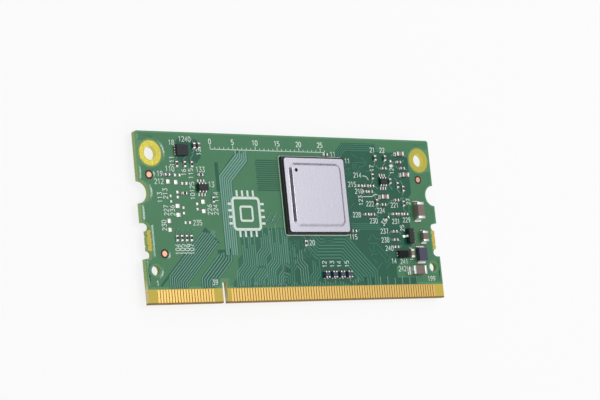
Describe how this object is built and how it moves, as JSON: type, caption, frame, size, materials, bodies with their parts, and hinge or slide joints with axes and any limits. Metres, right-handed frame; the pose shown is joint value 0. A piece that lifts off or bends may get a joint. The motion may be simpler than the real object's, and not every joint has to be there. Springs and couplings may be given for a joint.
{
  "type": "system on module",
  "caption": "Edge-connector computer module: a green circuit board with a metal-lidded processor and chip parts on its front and memory packages on its rear.",
  "frame": {"origin": "on the surface that the module lies on, under the centre of the board", "axes": "+X along the contact edge, +Y from the contact edge to the top edge, +Z out of the component side"},
  "size_m": [0.0676, 0.031, 0.0037],
  "materials": {
    "board": "satin green solder mask over glass epoxy",
    "gold_plate": "gold-plated copper",
    "bare_copper": "bare copper",
    "substrate": "dark green laminate",
    "nickel_lid": "satin nickel plate on copper",
    "solder": "bright solder",
    "tin_plate": "bright tin plate",
    "mould_compound": "matte moulded epoxy",
    "silicon": "ground silicon",
    "paste": "matte grey paste",
    "sealant": "matte black sealant",
    "ferrite": "matte grey ferrite",
    "capacitor_ceramic": "fired ceramic",
    "resistor_glaze": "gloss black glaze on ceramic"
  },
  "bodies": {
    "root": {"circuit_board": "board", "front_contacts": "gold_plate", "rear_contacts": "gold_plate", "mounting_hole_platings": "gold_plate", "fiducial_dots": "bare_copper", "processor_substrate": "substrate", "processor_balls": "solder", "processor_die": "silicon", "thermal_paste": "paste", "lid_seal": "sealant", "processor_lid": "nickel_lid", "memory_body": "mould_compound", "memory_balls": "solder", "flash_body": "mould_compound", "flash_balls": "solder", "settings_memory_body": "mould_compound", "settings_memory_terminals": "tin_plate", "driver_body": "mould_compound", "driver_leads": "tin_plate", "regulator_body": "mould_compound", "regulator_leads": "tin_plate", "transistor_body": "mould_compound", "transistor_leads": "tin_plate", "power_switch_body": "mould_compound", "power_switch_terminals": "tin_plate", "inductor_body": "ferrite", "inductor_terminals": "tin_plate", "choke_bodies": "ferrite", "choke_terminals": "tin_plate", "resistor_bodies": "resistor_glaze", "resistor_caps": "tin_plate", "small_capacitor_bodies": "capacitor_ceramic", "small_capacitor_caps": "tin_plate", "medium_capacitor_bodies": "capacitor_ceramic", "medium_capacitor_caps": "tin_plate", "broad_capacitor_body": "capacitor_ceramic", "broad_capacitor_caps": "tin_plate", "large_capacitor_bodies": "capacitor_ceramic", "large_capacitor_caps": "tin_plate", "rear_capacitor_bodies": "capacitor_ceramic", "rear_capacitor_caps": "tin_plate", "bare_solder_pads": "solder", "front_solder_joints": "solder", "rear_solder_joints": "solder"}
  },
  "joints": []
}
